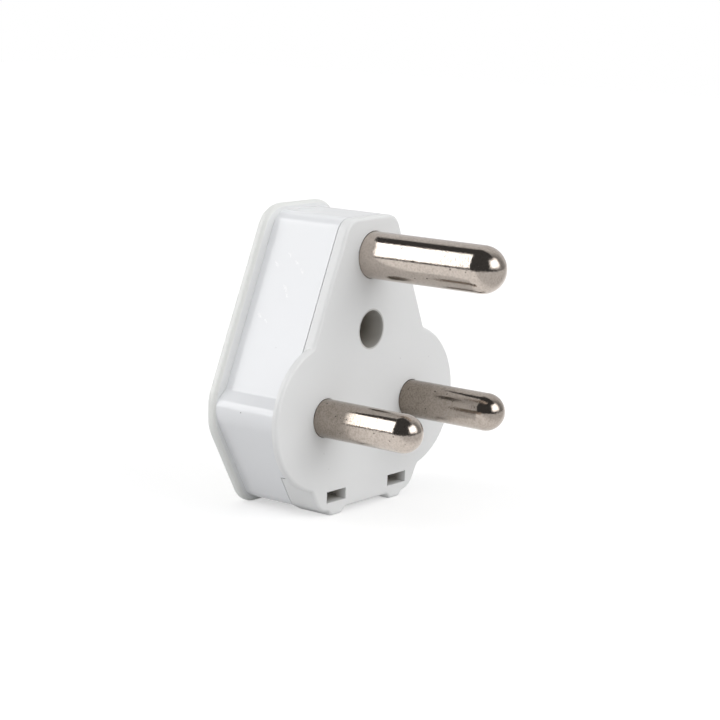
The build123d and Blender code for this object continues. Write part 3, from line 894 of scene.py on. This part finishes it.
def lay_floor(studio):
    """A pale floor: white to the camera, with the object's shadow on it."""
    half = studio.floor_size / 2
    square = ((-half, -half), (half, -half), (half, half), (-half, half))
    corners = [(x, y, FLOOR_HEIGHT) for x, y in square]
    mesh = bpy.data.meshes.new("floor")
    mesh.from_pydata(corners, [], [(0, 1, 2, 3)])
    finish = Finish("pale_floor")
    matt = finish.node("ShaderNodeBsdfDiffuse", None, {"Color": opaque(studio.floor_colour)})
    along = finish.split(finish.place)[1]
    mirrored = finish.ray("Glossy") * finish.ramp(along, *FLOOR_AHEAD, FLOOR_AHEAD_SHARE, 1.0)
    lift = (finish.ray("Camera") + finish.ray("Transmission") + mirrored) * studio.floor_lift
    glow = finish.node("ShaderNodeEmission", None, {"Color": (1.0,) * 4, "Strength": lift})
    both = finish.node("ShaderNodeAddShader", None, {0: matt, 1: glow})
    finish.node("ShaderNodeOutputMaterial", None, {"Surface": both})
    finished_object("floor", mesh, finish.material)


def light_surround(studio):
    """The studio round the object: a softbox behind on the left, one in front, dark gaps between.

    The camera sees plain white. Polished metal mirrors the softboxes and the gaps. Matt surfaces
    get a share of the key, and soft light from the left and from ahead of the pins.
    """
    world = bpy.data.worlds.new("surround")
    world.use_nodes = True
    bpy.context.scene.world = world
    graph = Graph(world.node_tree)
    x, y, z = graph.split(graph.node("ShaderNodeTexCoord", output="Generated"))
    turn = graph.math("ARCTAN2", z, 0.0 - x)
    key = graph.between(turn, *KEY_TURN, KEY_TURN_EDGE)
    key = key * graph.between(y, *KEY_REACH, KEY_REACH_EDGE) * studio.key_strength
    round_front = graph.math("ARCTAN2", x, 0.0 - y)
    front = graph.between(round_front, *FRONT_ROUND, FRONT_ROUND_EDGE)
    height = graph.math("ARCSINE", z)
    front = front * graph.between(height, *FRONT_HEIGHT, FRONT_HEIGHT_EDGE)
    glossy = graph.ray("Glossy")
    shaded = 1.0 - glossy * graph.ramp(0.0 - y, *RIGHT_AHEAD) * RIGHT_AHEAD_LOSS
    right = graph.ramp(x, *RIGHT_START) * (1.0 - front) * shaded
    lamps = front * studio.front_strength + right * studio.right_strength
    fill_x, fill_y, fill_z = FILL_SIDE
    fill = graph.ramp(fill_y * y + fill_z * z + fill_x * x, *FILL_START) * studio.fill_strength
    face = graph.ramp(0.0 - y, *FACE_START) * studio.face_strength
    mirrored = key + studio.gap_strength
    soft = key * KEY_SPILL + studio.spill_strength + fill + face
    direct = graph.ray("Camera") + graph.ray("Transmission")
    around = lamps + glossy * mirrored + (1.0 - glossy) * soft
    strength = direct + (1.0 - direct) * around
    light = graph.node("ShaderNodeBackground", None, {"Color": (1.0,) * 4, "Strength": strength})
    graph.node("ShaderNodeOutputWorld", None, {"Surface": light})


def aim_camera(studio):
    """The photograph's view."""
    ahead = Vector((
        math.sin(studio.yaw) * math.cos(studio.pitch),
        math.cos(studio.yaw) * math.cos(studio.pitch),
        -math.sin(studio.pitch),
    ))
    level = Vector((math.cos(studio.yaw), -math.sin(studio.yaw), 0.0))
    upright = level.cross(ahead)
    right = level * math.cos(studio.roll) + upright * math.sin(studio.roll)
    up = upright * math.cos(studio.roll) - level * math.sin(studio.roll)
    lens = bpy.data.cameras.new("view")
    lens.sensor_width = FILM_WIDTH
    lens.lens = studio.lens
    camera = bpy.data.objects.new("view", lens)
    bpy.context.scene.collection.objects.link(camera)
    turn = Matrix((right, up, -ahead)).transposed().to_4x4()
    camera.matrix_world = Matrix.Translation(Vector(studio.eye)) @ turn
    bpy.context.scene.camera = camera


# Add-on


class PLUGTOP_PT_sidebar(bpy.types.Panel):
    """The plug top's sizes, colours and steps"""

    bl_idname = "PLUGTOP_PT_sidebar"
    bl_label = "Plug top"
    bl_space_type = "VIEW_3D"
    bl_region_type = "UI"
    bl_category = "Plug top"

    def draw(self, context):
        for step in STEPS:
            self.layout.operator(step.bl_idname)
        for name in GROUPS:
            box = self.layout.box()
            settings = getattr(context.scene, name)
            for prop in settings.bl_rna.properties:
                if prop.identifier not in ("rna_type", "name"):
                    box.prop(settings, prop.identifier)


STEPS = (
    PLUGTOP_OT_mould_base,
    PLUGTOP_OT_mould_cover,
    PLUGTOP_OT_plate_pins,
    PLUGTOP_OT_fit_terminals,
    PLUGTOP_OT_fit_cover_screw,
    PLUGTOP_OT_fit_cord_clamp,
    PLUGTOP_OT_set_studio,
)
GROUPS = {
    "plugtop_mouldings": PLUGTOP_PG_mouldings,
    "plugtop_metals": PLUGTOP_PG_metals,
    "plugtop_studio": PLUGTOP_PG_studio,
}


def register():
    """Adds the classes and the settings."""
    for cls in (*GROUPS.values(), *STEPS, PLUGTOP_PT_sidebar):
        bpy.utils.register_class(cls)
    for name, group in GROUPS.items():
        setattr(bpy.types.Scene, name, bpy.props.PointerProperty(type=group))


def unregister():
    """Takes them out again."""
    for name in GROUPS:
        delattr(bpy.types.Scene, name)
    for cls in (PLUGTOP_PT_sidebar, *reversed(STEPS), *reversed(GROUPS.values())):
        bpy.utils.unregister_class(cls)


def main():
    """Runs every step."""
    register()
    for step in STEPS:
        group, name = step.bl_idname.split(".")
        getattr(getattr(bpy.ops, group), name)()


if __name__ == "__main__":
    main()
